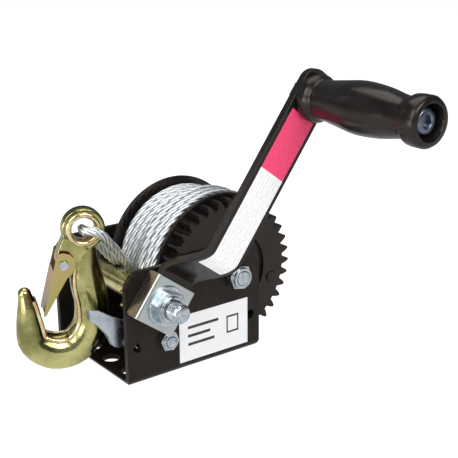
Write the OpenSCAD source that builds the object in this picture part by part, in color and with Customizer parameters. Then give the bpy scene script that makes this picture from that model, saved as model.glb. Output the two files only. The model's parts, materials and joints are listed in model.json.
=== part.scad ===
// Boat trailer winch: a hand winch with a geared wire rope drum in a bent steel frame,
// a cranked handle, a ratchet pawl and a latched hook on a rope loop.
// X runs back from the rope side, Y runs from the crank side to the far side, Z is up.
// The origin is the centre of the base's underside.

/* [Frame] */
// Length of the frame, front to rear
frame_l = 88; // [88:1:110]
// Width of the frame over both side plates
frame_w = 78; // [78:1:90]
// Height of the side plates
frame_h = 64; // [62:1:70]
// Thickness of the frame's steel plate
plate_t = 3; // [2.5:0.5:4]
// Radius of the front top corner of a side plate
front_corner_r = 10.5; // [5:0.5:11]
// Radius of the rear top corner of a side plate
rear_corner_r = 9; // [4:0.5:12]
// Diameter of the bolt holes in the base
base_hole_d = 10; // [8:0.5:11]
// Distance between the bolt holes in a row
base_hole_gap = 20; // [16:1:21]

/* [Gears] */
// Gear module: pitch diameter over number of teeth
gear_module = 2.25; // [2.25:0.05:2.3]
// Teeth on the drum gear
drum_teeth = 36; // [35:1:36]
// Teeth on the pinion
pinion_teeth = 11; // [11:1:12]
// Width of the drum gear along the axle
gear_w = 8.5; // [6:0.5:9]

/* [Drum] */
// Outer diameter of the drum flanges
flange_d = 87.6; // [84:0.2:88]
// Outer diameter of the drum tube
tube_d = 34; // [30:1:40]
// Distance between the drum flanges
drum_l = 44; // [36:1:44]
// Diameter of the wire rope
rope_d = 4.8; // [4:0.1:5]
// Outer diameter of the wound rope
wound_d = 82; // [60:1:82]

/* [Crank] */
// Radius from the drive shaft to the grip
crank_r = 129; // [110:1:170]
// Rest angle of the crank above the horizontal
crank_angle = 53.3; // [40:0.1:70]
// Width of the crank arm
arm_w = 22; // [18:1:24]
// Thickness of the crank arm
arm_t = 4.5; // [4:0.5:5]
// How far the upper arm stands outside the hub part
arm_offset = 26.5; // [26:0.5:34]
// Length of the grip
grip_l = 80; // [78:1:90]

/* [Hook] */
// Outer diameter of the hook's eye
eye_d = 23; // [22:0.5:24]
// Diameter of the hole in the hook's eye
eye_hole_d = 13; // [12:0.5:14]

/* [Hidden] */
$fn = 64;

// Planes across the winch
front_x = -frame_l / 2;
near_y = -frame_w / 2;
far_y = frame_w / 2;
near_in = near_y + plate_t;
far_in = far_y - plate_t;
bend_r = plate_t + 2;
foot_r = 3.5;

// Shaft, axle and pawl centres, seen from the crank side
shaft_x = front_x + 18;
shaft_z = 46;
axle_z = 48;
centre_gap = gear_module * (drum_teeth + pinion_teeth) / 2;
axle_x = shaft_x + sqrt(pow(centre_gap, 2) - pow(axle_z - shaft_z, 2));
pawl_x = front_x + 24.8;
pawl_z = 21.5;

// Base bolt holes: the rows sit off the middle of the base
hole_row_in = 9;
hole_row_y = near_y + 33.3;
// Small round holes low in the near side plate; the front one holds the spring's fixed leg
small_hole_d = 5.5;
small_hole_z = 21.6;
small_hole_in = 6.5;

// Gears
gear_pitch_r = gear_module * drum_teeth / 2;
pinion_pitch_r = gear_module * pinion_teeth / 2;
gear_tip_r = gear_pitch_r + 0.85 * gear_module;
gear_root_r = gear_pitch_r - 1.15 * gear_module;
pinion_tip_r = pinion_pitch_r + 0.85 * gear_module;
pinion_root_r = pinion_pitch_r - 1.2 * gear_module;
pressure_angle = 25;
backlash = 0.45;
gear_phase = 8.2;
line_angle = atan2(axle_z - shaft_z, axle_x - shaft_x);
gear_pitch_angle = 360 / drum_teeth;
gear_turn = (gear_phase - 180 - line_angle) % gear_pitch_angle;
pinion_phase = line_angle - gear_turn * drum_teeth / pinion_teeth + 180 / pinion_teeth;
gear_dish_r = 24;
gear_dish = 2;
gear_y = near_in + 1.5;
pinion_y = gear_y + 0.2;
pinion_w = gear_w - 0.4;

// Drum along the axle
flange_t = 1.9;
near_flange_y = gear_y + gear_w;
drum_y = near_flange_y + flange_t;
far_flange_y = drum_y + drum_l;
axle_d = 8;
sleeve_d = 14;
bush_d = 20;
fit = 0.05;
clear = 0.3;
rivet_r = 31.2;
rivet_d = 5;
rivet_first = -18;

// Shaft and crank, stacked outwards from the near plate
shaft_d = 13;
thread_d = 10;
bush_od = 17;
bush_flange = 1.2;
spacer_t = 3.7;
spacer_d = 22.5;
hub_y = near_y - clear - spacer_t;
bracket_t = 2;
bracket_l = 26;
bracket_w = 26.5;
bracket_edge = arm_w / 2 + 0.4;
bracket_y = hub_y - arm_t;
crank_washer_y = bracket_y - bracket_t;
crank_washer_t = 1.5;
crank_washer_d = 22;
crank_nut_y = crank_washer_y - crank_washer_t;
crank_nut_af = 16;
crank_nut_h = 6;
shaft_end_y = near_y - 26;
upper_y = hub_y - arm_offset;
upper_face = upper_y - arm_t;
joggle_s = 21;
joggle_run = 10;
joggle_ease = 5;
arm_tail = 12.5;
arm_end = 14.2;
grip_y = upper_face - clear;
grip_hole_r = 4;
grip_end_y = grip_y - grip_l;
nut_af = 13;
nut_h = 8;

// Pawl and its bolt
pawl_y = near_in + 3.5;
pawl_t = 4;
pawl_boss_r = 8.5;
pawl_bolt_d = 6;
pawl_nut_af = 10;
pawl_nut_h = 4.5;
thread_over = 0.5;

// Rope clamp on the far flange, and the thickness of the labels
clamp_r = 26;
clamp_bolt_d = 6;
label_t = 0.2;

// Hook: a plane that turns about Z, with the eye's centre as its origin
hook_at = [-50.2, -8.9, 83.2];
hook_turn = -20;
eye_t = 7.5;
latch_at = [-11.8, -17.1];
latch_lean = 25.2;
lug_t = 8.4;
latch_pin_d = 3;
latch_w = 15;
latch_sheet = 1.2;

// Outward step that keeps cutting faces off the faces they cut
eps = 0.5;

// Turns a shape drawn in XY so that it stands in XZ, and runs it from y0 to y0 + w
module across(y0, w) {
    translate([0, y0 + w, 0]) rotate([90, 0, 0]) linear_extrude(w) children();
}

// A round bar along Y from y0 to y0 + w
module rod(x, z, y0, w, d) {
    translate([x, y0, z]) rotate([-90, 0, 0]) cylinder(h = w, d = d);
}

// A tube along Y
module ring(x, z, y0, w, d, hole) {
    difference() {
        rod(x, z, y0, w, d);
        rod(x, z, y0 - eps, w + 2 * eps, hole);
    }
}

// A hexagon bar along Y; af is the size across its flats
module hex(x, z, y0, w, af, turn = 0) {
    translate([x, y0, z]) rotate([-90, 0, 0]) rotate(turn) cylinder(h = w, d = af / cos(30), $fn = 6);
}

// A lock nut on the near side: hexagon, then a round collar that points to -Y
module lock_nut(x, z, face_y, af, h, hole, turn = 0) {
    collar = 0.25 * h;
    difference() {
        union() {
            hex(x, z, face_y - h + collar, h - collar, af, turn);
            rod(x, z, face_y - h, collar, 0.88 * af);
        }
        rod(x, z, face_y - h - eps, h + 2 * eps, hole);
    }
}

// Sweeps a round section along a list of points; the side direction is carried along
function unit(v) = v / norm(v);
function tangent(p, i) = unit(p[min(i + 1, len(p) - 1)] - p[max(i - 1, 0)]);
function carried(p, side, i = 0) =
    let (t = tangent(p, i), a = unit(side - t * (side * t)))
    i == len(p) - 1 ? [a] : concat([a], carried(p, a, i + 1));
module sweep(p, r, sides, side) {
    last = len(p) - 1;
    along = carried(p, side);
    rings = [for (i = [0:last])
        let (a = along[i], b = cross(tangent(p, i), a))
        for (k = [0:sides - 1])
            p[i] + r * (cos(360 * k / sides) * a + sin(360 * k / sides) * b)];
    skin = [for (i = [0:last - 1], k = [0:sides - 1])
        let (n = (k + 1) % sides)
        [i * sides + k, i * sides + n, (i + 1) * sides + n, (i + 1) * sides + k]];
    ends = [[for (k = [sides - 1:-1:0]) k], [for (k = [0:sides - 1]) last * sides + k]];
    polyhedron(points = rings, faces = concat(skin, ends), convexity = 6);
}

// A smooth curve through a list of points, with n steps between neighbours
function blend4(a, b, c, d, t) =
    0.5 * (2 * b + (c - a) * t + (2 * a - 5 * b + 4 * c - d) * t * t
        + (3 * b - a - 3 * c + d) * t * t * t);
function smooth(p, n) = [
    for (i = [0:len(p) - 2], j = [0:n - 1])
        blend4(p[max(i - 1, 0)], p[i], p[i + 1], p[min(i + 2, len(p) - 1)], j / n),
    p[len(p) - 1]];

// Involute tooth flank: angle, in degrees, that the flank has turned at radius r
function flank_turn(base, r) =
    let (roll = sqrt(max(pow(r / base, 2) - 1, 0)))
    roll * 180 / PI - atan(roll);

// One gear outline: each tooth runs root, flank, rounded tip, flank, root
module gear_outline(teeth, pitch_r, root_r, tip_r, phase) {
    base = pitch_r * cos(pressure_angle);
    half = 90 / teeth - backlash / 2 / pitch_r * 180 / PI;
    start = flank_turn(base, pitch_r);
    low = max(base, root_r);
    steps = 5;
    radii = [for (j = [0:steps]) low + (tip_r - low) * (1 - pow(1 - j / steps, 1.6))];
    angles = [for (r = radii) half + start - flank_turn(base, r)];
    root_half = min(half + start + 1.2, 180 / teeth - 1);
    outline = [for (i = [0:teeth - 1])
        let (mid = phase + i * 360 / teeth)
        each concat(
            [root_r * [cos(mid - root_half), sin(mid - root_half)]],
            [for (j = [0:steps]) radii[j] * [cos(mid - angles[j]), sin(mid - angles[j])]],
            [for (j = [steps:-1:0]) radii[j] * [cos(mid + angles[j]), sin(mid + angles[j])]],
            [root_r * [cos(mid + root_half), sin(mid + root_half)]])];
    polygon(outline);
}

// A rectangle with four rounded corners, from exact squares and circles
module rounded_box(size, r) {
    translate([r, 0]) square([size[0] - 2 * r, size[1]]);
    translate([0, r]) square([size[0], size[1] - 2 * r]);
    for (x = [r, size[0] - r], y = [r, size[1] - r]) translate([x, y]) circle(r);
}

// Side plate outline in XZ
module plate_outline() {
    difference() {
        translate([front_x, 0]) square([frame_l, frame_h]);
        corner_cut(front_x, frame_h, front_corner_r, 1, -1);
        corner_cut(-front_x, frame_h, rear_corner_r, -1, -1);
        corner_cut(-front_x, 0, foot_r, -1, 1);
        corner_cut(front_x, 0, foot_r, 1, 1);
    }
}

// The bit that rounding takes off a corner; sx and sz point into the plate
module corner_cut(x, z, r, sx, sz) {
    translate([x, z]) scale([sx, sz]) difference() {
        translate([-eps, -eps]) square(r + eps);
        translate([r, r]) circle(r);
    }
}

// U section in YZ: a base and two side plates with round bends
module u_section() {
    difference() {
        translate([near_y, 0]) rounded_box([frame_w, 2 * frame_h], bend_r);
        translate([near_in, plate_t]) rounded_box([frame_w - 2 * plate_t, 2 * frame_h],
            bend_r - plate_t);
    }
}

module base_holes() {
    for (x = [front_x + hole_row_in, -front_x - hole_row_in], i = [-1:1])
        translate([x, hole_row_y + i * base_hole_gap, -eps])
            cylinder(h = plate_t + 2 * eps, d = base_hole_d);
}

module frame() {
    color("#26262a") difference() {
        intersection() {
            rotate([90, 0, 90]) translate([0, 0, front_x]) linear_extrude(frame_l) u_section();
            across(near_y - eps, frame_w + 2 * eps) plate_outline();
        }
        base_holes();
        rod(axle_x, axle_z, near_y - eps, frame_w + 2 * eps, axle_d);
        rod(shaft_x, shaft_z, near_y - eps, frame_w + 2 * eps, bush_od);
        rod(pawl_x, pawl_z, near_y - eps, plate_t + 2 * eps, pawl_bolt_d);
        for (x = [front_x + small_hole_in, -front_x - small_hole_in])
            rod(x, small_hole_z, near_y - eps, plate_t + 2 * eps, small_hole_d);
    }
}

module axle_bolt() {
    head = 5.3;
    color("#c9ccd0") {
        rod(axle_x, axle_z, near_y - nut_h - thread_over, frame_w + nut_h + thread_over, axle_d);
        hex(axle_x, axle_z, far_y, head, nut_af);
    }
}

module axle_sleeve() {
    color("#b9bcc0") ring(axle_x, axle_z, near_in, far_in - near_in, sleeve_d, axle_d);
}

module axle_nut() {
    color("#d4d7da") lock_nut(axle_x, axle_z, near_y, nut_af, nut_h, axle_d, 12);
}

module drum_tube() {
    color("#2a2a2e") ring(axle_x, axle_z, drum_y, drum_l, tube_d, tube_d - 6);
}

module drum_flange(y) {
    ring(axle_x, axle_z, y, flange_t, flange_d, bush_d);
}

module near_flange() {
    color("#242428") difference() {
        drum_flange(near_flange_y);
        rivet_holes(near_flange_y - eps, flange_t + 2 * eps);
    }
}

module far_flange() {
    color("#242428") difference() {
        drum_flange(far_flange_y);
        rod(axle_x, axle_z + clamp_r, far_flange_y - eps, flange_t + 2 * eps, clamp_bolt_d);
    }
}

module rivet_holes(y0, w) {
    for (i = [0:3]) let (a = rivet_first + 90 * i)
        rod(axle_x + rivet_r * cos(a), axle_z + rivet_r * sin(a), y0, w, rivet_d);
}

module drum_gear() {
    color("#2b2a2e") difference() {
        translate([axle_x, 0, axle_z]) across(gear_y, gear_w)
            gear_outline(drum_teeth, gear_pitch_r, gear_root_r, gear_tip_r, gear_phase);
        rod(axle_x, axle_z, gear_y - eps, gear_dish + eps, 2 * gear_dish_r);
        rod(axle_x, axle_z, gear_y - eps, gear_w + 2 * eps, bush_d);
        rivet_holes(gear_y - eps, gear_w + 2 * eps);
    }
}

// Plastic bushes pressed into the gear and the far flange, running on the sleeve
module drum_bushes() {
    bore = sleeve_d + 2 * fit;
    near_start = near_in + clear;
    far_start = far_flange_y - 4;
    color("#e6e2d6") {
        ring(axle_x, axle_z, near_start, drum_y - near_start + 4, bush_d, bore);
        ring(axle_x, axle_z, far_start, far_in - clear - far_start, bush_d, bore);
    }
}

module gear_rivets() {
    head = 0.8;
    color("#3a3a3e") for (i = [0:3]) let (a = rivet_first + 90 * i) {
        rod(axle_x + rivet_r * cos(a), axle_z + rivet_r * sin(a),
            gear_y, gear_w + flange_t, rivet_d);
        rod(axle_x + rivet_r * cos(a), axle_z + rivet_r * sin(a),
            gear_y - head, head, rivet_d + 2);
    }
}

module rope_on_drum() {
    color("#c8ccd2") ring(axle_x, axle_z, drum_y, drum_l, wound_d, tube_d);
}

// Saddle and screw that hold the rope's end on the outside of the far flange
module rope_clamp() {
    saddle = [16, 3, 12];
    out = far_flange_y + flange_t;
    color("#c9ccd0") {
        translate([axle_x - saddle[0] / 2, out, axle_z + clamp_r - saddle[2] / 2]) cube(saddle);
        rod(axle_x, axle_z + clamp_r, far_flange_y, flange_t + eps, clamp_bolt_d);
        hex(axle_x, axle_z + clamp_r, out + saddle[1] - 0.01, 4, 10);
    }
}

module drive_shaft() {
    tip = far_y + 3;
    color("#c9a94a") {
        rod(shaft_x, shaft_z, near_y - clear, tip - near_y + clear, shaft_d);
        rod(shaft_x, shaft_z, shaft_end_y, near_y - clear - shaft_end_y + eps, thread_d);
    }
}

module pinion() {
    color("#d2b04c") difference() {
        translate([shaft_x, 0, shaft_z]) across(pinion_y, pinion_w)
            gear_outline(pinion_teeth, pinion_pitch_r, pinion_root_r, pinion_tip_r, pinion_phase);
        rod(shaft_x, shaft_z, pinion_y - eps, pinion_w + 2 * eps, shaft_d);
    }
}

// Flanged bush in a side plate; the flange lies inside the frame
module near_shaft_bush() {
    color("#3b3b3f") difference() {
        union() {
            rod(shaft_x, shaft_z, near_y, plate_t, bush_od);
            rod(shaft_x, shaft_z, near_in, bush_flange, bush_od + 4);
        }
        rod(shaft_x, shaft_z, near_y - eps, plate_t + bush_flange + 2 * eps, shaft_d + 2 * fit);
    }
}

module far_shaft_bush() {
    color("#3b3b3f") difference() {
        union() {
            rod(shaft_x, shaft_z, far_in, plate_t, bush_od);
            rod(shaft_x, shaft_z, far_in - bush_flange, bush_flange, bush_od + 4);
        }
        rod(shaft_x, shaft_z, far_in - bush_flange - eps, plate_t + bush_flange + 2 * eps,
            shaft_d + 2 * fit);
    }
}

module shaft_clip() {
    color("#8d9095") difference() {
        ring(shaft_x, shaft_z, far_y + clear, 1.2, shaft_d + 6, shaft_d);
        translate([shaft_x - 2.5, far_y, shaft_z - shaft_d]) cube([5, 3, shaft_d - 5]);
    }
}

// Places a shape drawn along the crank: X from the shaft towards the grip
module along_crank() {
    translate([shaft_x, 0, shaft_z]) rotate([0, -crank_angle, 0]) children();
}

// The arm's middle line seen from its edge: hub part, joggle and upper part
function eased(u) = u * u * (3 - 2 * u);
module arm_side() {
    start = joggle_s - joggle_ease;
    run = joggle_run + 2 * joggle_ease;
    steps = 24;
    hub_mid = hub_y - arm_t / 2;
    line = concat([[-arm_tail, hub_mid]],
        [for (i = [0:steps]) [start + run * i / steps, hub_mid - arm_offset * eased(i / steps)]],
        [[crank_r + arm_end, hub_mid - arm_offset]]);
    n = len(line) - 1;
    sides = [for (i = [0:n])
        let (t = i == 0 || i == n ? [1, 0] : unit(line[i + 1] - line[i - 1]))
        [-t[1], t[0]] * arm_t / 2];
    polygon(concat([for (i = [0:n]) line[i] + sides[i]],
        [for (i = [n:-1:0]) line[i] - sides[i]]));
}

// The arm seen square on: straight sides and a top end with round corners
module arm_face() {
    r = 9;
    translate([-arm_tail, -arm_w / 2]) square([crank_r + arm_tail, arm_w]);
    offset(r = r) translate([0, r - arm_w / 2]) square([crank_r + arm_end - r, arm_w - 2 * r]);
}

module crank_arm() {
    color("#2b2b2e") along_crank() difference() {
        intersection() {
            translate([0, 0, -arm_w / 2]) linear_extrude(arm_w) arm_side();
            across(upper_face - 1, arm_offset + 2 * arm_t + 2) arm_face();
        }
        rod(0, 0, bracket_y - eps, arm_t + 2 * eps, thread_d);
        rod(crank_r, 0, upper_face - eps, arm_t + 2 * eps, 2 * grip_hole_r);
    }
}

// Square clamp plate over the arm's hub, with a flange folded back over the arm's edge
module crank_bracket() {
    color("#d9dcdf") along_crank() difference() {
        translate([-bracket_l / 2, crank_washer_y, bracket_edge + bracket_t]) union() {
            translate([0, 0, -bracket_w]) cube([bracket_l, bracket_t, bracket_w]);
            translate([0, 0, -bracket_t]) linear_extrude(bracket_t) bracket_lip();
        }
        rod(0, 0, crank_washer_y - eps, bracket_t + 2 * eps, thread_d);
    }
}

// The folded lip: length by depth, with rounded outer corners
module bracket_lip() {
    r = 3;
    depth = near_y - eps - crank_washer_y;
    square([bracket_l, depth - r]);
    translate([r, 0]) square([bracket_l - 2 * r, depth]);
    for (x = [r, bracket_l - r]) translate([x, depth - r]) circle(r);
}

module crank_washer() {
    color("#d4d7da") ring(shaft_x, shaft_z, crank_nut_y, crank_washer_t,
        crank_washer_d, thread_d);
}

module crank_nut() {
    color("#ccd0d4") lock_nut(shaft_x, shaft_z, crank_nut_y, crank_nut_af,
        crank_nut_h, thread_d, 20);
}

module crank_spacer() {
    color("#e2e4e6") ring(shaft_x, shaft_z, hub_y, spacer_t, spacer_d, thread_d);
}

// Barrel grip with a collar at each end and a recess for the bolt's head
module grip() {
    bore = grip_hole_r + fit;
    recess = 8;
    profile = concat(
        [[bore, 0], [11.6, 0], [12.4, 1.2], [12.4, 5.2], [11.6, 6.8]],
        smooth([[10.3, 8.4], [10.4, 12], [12, 24], [13.4, 36], [12.6, 50], [10.9, 60], [10.1, 66],
            [10.4, 68.5]], 3),
        [[12.2, grip_l - 9.5], [12.5, grip_l - 7], [12.5, grip_l - 2], [11.6, grip_l - 0.5],
            [10.6, grip_l], [9, grip_l], [8.4, grip_l - 1.5], [8, grip_l - recess],
            [bore, grip_l - recess]]);
    color("#1f1f22") along_crank() translate([crank_r, grip_y, 0]) rotate([90, 0, 0])
        rotate_extrude() polygon(profile);
}

module grip_bolt() {
    head = 5;
    head_y = grip_end_y + 8 - clear - head;
    color("#c9ccd0") along_crank() {
        rod(crank_r, 0, head_y + head - eps, -head_y - head + eps + upper_y + nut_h, 2 * grip_hole_r);
        hex(crank_r, 0, head_y, head, 12);
    }
}

module grip_nut() {
    color("#d4d7da") along_crank() difference() {
        hex(crank_r, 0, upper_y, 6, nut_af);
        rod(crank_r, 0, upper_y - eps, 6 + 2 * eps, 2 * grip_hole_r);
    }
}

// Pawl: a stamped plate with a tooth under the pinion and a finger horn in front
module pawl_outline() {
    tooth = shaft_at(238, pinion_tip_r + 0.6);
    back = shaft_at(232, pinion_tip_r + 3.2);
    heel = shaft_at(252, pinion_tip_r + 1.6);
    offset(r = 1) offset(delta = -1) polygon([
        [front_x - 17.5, 47], [front_x - 12.5, 45.6], [front_x - 3.4, 39.4], [front_x + 3.8, 35.2],
        back, tooth, heel, [pawl_x + 2, pawl_z + 8], [pawl_x + 6, pawl_z - 5.5],
        [pawl_x, pawl_z - pawl_boss_r], [pawl_x - 6, pawl_z - 7], [front_x + 8, 19.5],
        [front_x + 3.5, 21.6], [front_x - 1, 21.5], [front_x - 4.2, 23.2], [front_x - 7.3, 29.8],
        [front_x - 12.2, 36.6], [front_x - 17.6, 41.6]]);
}

// A point at an angle and distance from the shaft
function shaft_at(a, r) = [shaft_x + r * cos(a), shaft_z + r * sin(a)];

module pawl() {
    color("#cfd3d6") difference() {
        union() {
            across(pawl_y, pawl_t) pawl_outline();
            rod(pawl_x, pawl_z, pawl_y, pawl_t, 2 * pawl_boss_r);
        }
        rod(pawl_x, pawl_z, pawl_y - eps, pawl_t + 2 * eps, pawl_bolt_d + 2 * fit);
    }
}

module pawl_bolt() {
    head = 4;
    head_y = pawl_y + pawl_t + clear;
    tip_y = near_y - pawl_nut_h - thread_over;
    color("#c9ccd0") {
        rod(pawl_x, pawl_z, tip_y, head_y - tip_y, pawl_bolt_d);
        hex(pawl_x, pawl_z, head_y, head, pawl_nut_af);
    }
}

module pawl_nut() {
    color("#d4d7da") lock_nut(pawl_x, pawl_z, near_y, pawl_nut_af, pawl_nut_h,
        pawl_bolt_d, 8);
}

module pawl_spacer() {
    color("#b9bcc0") ring(pawl_x, pawl_z, near_in, pawl_y - clear - near_in, 10,
        pawl_bolt_d);
}

// Spring round the spacer, with one leg in the frame's small front hole
module pawl_spring() {
    coil_r = 7;
    wire_d = 1;
    turns = 1.5;
    rise = 1.3;
    start = near_in + 0.65;
    coil = [for (i = [0:36 * turns]) let (a = 100 + 10 * i)
        [pawl_x + coil_r * cos(a), start + rise * i / 36, pawl_z + coil_r * sin(a)]];
    leg = [[front_x + small_hole_in, near_y + 1, small_hole_z],
        [front_x + small_hole_in, near_in + 0.6, small_hole_z],
        [front_x + small_hole_in + 2, near_in + 1, small_hole_z + 2]];
    color("#b5b8bc") sweep(concat(leg, coil), wire_d / 2, 8, [1, 0, 0]);
}

// Free rope: up from under the drum, a loop through the hook's eye, and back to the ferrule
rope_in = [[6, 4, 9.6], [0, 4, 13.6], [-6, 4, 18.9], [-11.4, 4, 24.2]];
loop_route = [[-14.4, 1.4, 29], [-16, 1.2, 36], [-16.9, 0.4, 44], [-17.6, -1.2, 49.5],
    [-19.6, -3.6, 53.7], [-25.6, -7.7, 59.9], [-32.3, -12.5, 67.3], [-39.9, -17.2, 75.3],
    [-43.9, -19.3, 79.9], [-47.9, -18.7, 82.9], [-50.4, -16.4, 83.5], [-51.9, -13.6, 83.5],
    [-51.2, -10.7, 83.2], [-49.2, -6.1, 82], [-47, -3.5, 79.6], [-43.3, -2.3, 75.2],
    [-37.7, -1.8, 69.8], [-30.9, 0.4, 61.8], [-24.3, 3.2, 55.6], [-20.4, 5.2, 54.3],
    [-17.7, 6.6, 51], [-16.9, 6.9, 45], [-16, 6.7, 37], [-14.4, 6.6, 29]];

module rope_loop() {
    color("#c8ccd2") {
        sweep(smooth(rope_in, 3), rope_d / 2, 10, [0, 1, 0]);
        sweep(smooth(loop_route, 3), rope_d / 2, 10, [0, 1, 0]);
    }
}

// Pressed oval ferrule where the loop's two strands meet the standing rope
module rope_ferrule() {
    color("#b7babd") translate([-13, 4, 26.6]) rotate([0, -20, 0]) difference() {
        translate([0, 0, -6]) linear_extrude(12) {
            square([rope_d + 1.6, rope_d + 1.2], center = true);
            for (s = [-1, 1]) translate([0, s * (rope_d + 1.2) / 2]) circle(d = rope_d + 1.6);
        }
    }
}

// Places a shape drawn in the hook's own plane, X to the right and Z up
module at_hook() {
    translate(hook_at) rotate([0, 0, hook_turn]) children();
}

// Stations along the hook's body: across, up, half width in its plane, half thickness
hook_stations = [[1, -10.1, 5.4, 4], [0.3, -18.6, 7.2, 5.2], [0.8, -29.6, 9.1, 6.4],
    [2.5, -42.2, 9, 7.4], [1.1, -55.8, 9.2, 8.2], [-6.9, -66.2, 9.7, 8.6],
    [-18.75, -67.9, 9.9, 8.6], [-28.8, -61.6, 8.6, 7.8], [-30.8, -50.6, 7.2, 6.8],
    [-31.4, -40.2, 5.2, 5.4], [-32.4, -33.2, 3.4, 3.6]];

// The hook's body: oval sections across a smooth spine
module hook_body() {
    sides = 24;
    spine = smooth(hook_stations, 4);
    last = len(spine) - 1;
    rings = [for (i = [0:last])
        let (a = spine[max(i - 1, 0)], b = spine[min(i + 1, last)],
            t = unit([b[0] - a[0], b[1] - a[1]]), s = spine[i])
        for (k = [0:sides - 1]) let (w = s[2] * cos(360 * k / sides), d = s[3] * sin(360 * k / sides))
            [s[0] - t[1] * w, d, s[1] + t[0] * w]];
    tip = spine[last];
    skin = [for (i = [0:last - 1], k = [0:sides - 1]) let (n = (k + 1) % sides)
        [i * sides + k, i * sides + n, (i + 1) * sides + n, (i + 1) * sides + k]];
    ends = [[for (k = [sides - 1:-1:0]) k], [for (k = [0:sides - 1]) last * sides + k]];
    polyhedron(points = rings, faces = concat(skin, ends), convexity = 6);
    translate([tip[0], 0, tip[1]]) sphere(r = tip[2] + 0.2, $fn = 24);
}

module hook_eye() {
    mid = (eye_d + eye_hole_d) / 4;
    half = (eye_d - eye_hole_d) / 4;
    rotate([90, 0, 0]) rotate_extrude() translate([mid, 0]) intersection() {
        circle(half * 1.6, $fn = 32);
        square([2 * half, eye_t], center = true);
    }
}

// Web between the eye and the neck that carries the latch pin
module latch_lug() {
    polygon([[-10.6, -2.5], [-14.8, -12], [-15.6, -16], [-14.5, -20], [-11.8, -21.3],
        [-8.5, -20.5], [-5, -24], [0, -20], [0, -8]]);
}

module hook() {
    color("#c3a65a") at_hook() difference() {
        union() {
            hook_eye();
            hook_body();
            across(-lug_t / 2, lug_t) latch_lug();
        }
        rod(0, 0, -12, 24, eye_hole_d);
        rod(latch_at[0], latch_at[1], -12, 24, latch_pin_d);
    }
}

// Latch: a folded sheet with two cheeks round the lug and a tapered web between them
module latch_cheek() {
    polygon([[-5.4, 4.5], [-2, 6], [1, 6.4], [4.5, 4.5], [6, 0], [5.8, -3], [4.3, -6],
        [1.8, -29], [1.2, -30], [0.4, -29]]);
}

module latch_web() {
    polygon([[-4.1, -4.5], [-4.1 + latch_sheet, -4.5], [0.4 + latch_sheet, -28], [0.2, -28]]);
}

module hook_latch() {
    color("#b99b62") at_hook() translate([latch_at[0], 0, latch_at[1]])
        rotate([0, latch_lean, 0]) difference() {
            union() {
                for (y = [-latch_w / 2, latch_w / 2 - latch_sheet])
                    across(y, latch_sheet) latch_cheek();
                across(-latch_w / 2, latch_w) latch_web();
            }
            rod(0, 0, -latch_w, 2 * latch_w, latch_pin_d + 2 * fit);
        }
}

module latch_pin() {
    head = 1.2;
    color("#d4d7da") at_hook() {
        rod(latch_at[0], latch_at[1], -latch_w / 2 - clear, latch_w + 2 * clear, latch_pin_d);
        for (y = [-latch_w / 2 - clear - head, latch_w / 2 + clear])
            rod(latch_at[0], latch_at[1], y, head, 5);
    }
}

module latch_spring() {
    steps = 48;
    coil_r = 2.4;
    start = lug_t / 2 + 0.45;
    rise = 1.2;
    coil = [for (i = [0:steps]) let (a = 12 * i)
        [latch_at[0] + coil_r * cos(a), start + rise * i / steps,
            latch_at[1] + coil_r * sin(a)]];
    color("#b5b8bc") at_hook() sweep(coil, 0.3, 8, [1, 0, 0]);
}

// Paper-thin labels: one on the upper arm, one on the near side plate
module arm_label() {
    start = joggle_s + joggle_run + 9;
    color("#f2f2f0") along_crank() translate([start, upper_face - label_t, -8.5])
        cube([118 - start, label_t, 17]);
}

module side_label() {
    color("#f4f4f2") translate([front_x + 32.8, near_y - label_t, 5]) cube([46.7, label_t, 27.5]);
}

frame();
axle_bolt();
axle_sleeve();
axle_nut();
drum_tube();
near_flange();
far_flange();
drum_gear();
drum_bushes();
gear_rivets();
rope_on_drum();
rope_clamp();
drive_shaft();
pinion();
near_shaft_bush();
far_shaft_bush();
shaft_clip();
crank_spacer();
crank_arm();
crank_bracket();
crank_washer();
crank_nut();
grip();
grip_bolt();
grip_nut();
pawl();
pawl_bolt();
pawl_nut();
pawl_spacer();
pawl_spring();
rope_loop();
rope_ferrule();
hook();
hook_latch();
latch_pin();
latch_spring();
arm_label();
side_label();
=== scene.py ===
"""Looks of the boat trailer winch: camera, light, finishes and detail on the CAD frame."""

import json
import math

import bmesh
import bpy
from mathutils import Matrix, Vector


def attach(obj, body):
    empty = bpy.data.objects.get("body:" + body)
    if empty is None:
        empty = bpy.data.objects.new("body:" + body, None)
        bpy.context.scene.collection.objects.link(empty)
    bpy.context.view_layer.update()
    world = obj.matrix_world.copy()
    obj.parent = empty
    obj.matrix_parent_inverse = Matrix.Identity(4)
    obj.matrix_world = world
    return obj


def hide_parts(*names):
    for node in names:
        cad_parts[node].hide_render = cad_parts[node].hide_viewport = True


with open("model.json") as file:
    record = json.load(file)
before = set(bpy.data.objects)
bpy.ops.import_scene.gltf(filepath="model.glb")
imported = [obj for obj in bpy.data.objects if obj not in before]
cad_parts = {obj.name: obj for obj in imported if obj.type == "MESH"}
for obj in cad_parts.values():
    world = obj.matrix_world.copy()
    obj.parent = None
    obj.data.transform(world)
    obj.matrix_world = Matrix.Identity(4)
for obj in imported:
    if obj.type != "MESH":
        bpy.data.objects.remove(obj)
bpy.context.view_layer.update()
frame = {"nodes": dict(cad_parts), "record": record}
NODES = frame["nodes"]
RECORD = frame["record"]
BODY = {n: b for b, names in RECORD["behaviour"]["bodies"].items() for n in names}
MM = 0.001

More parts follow.
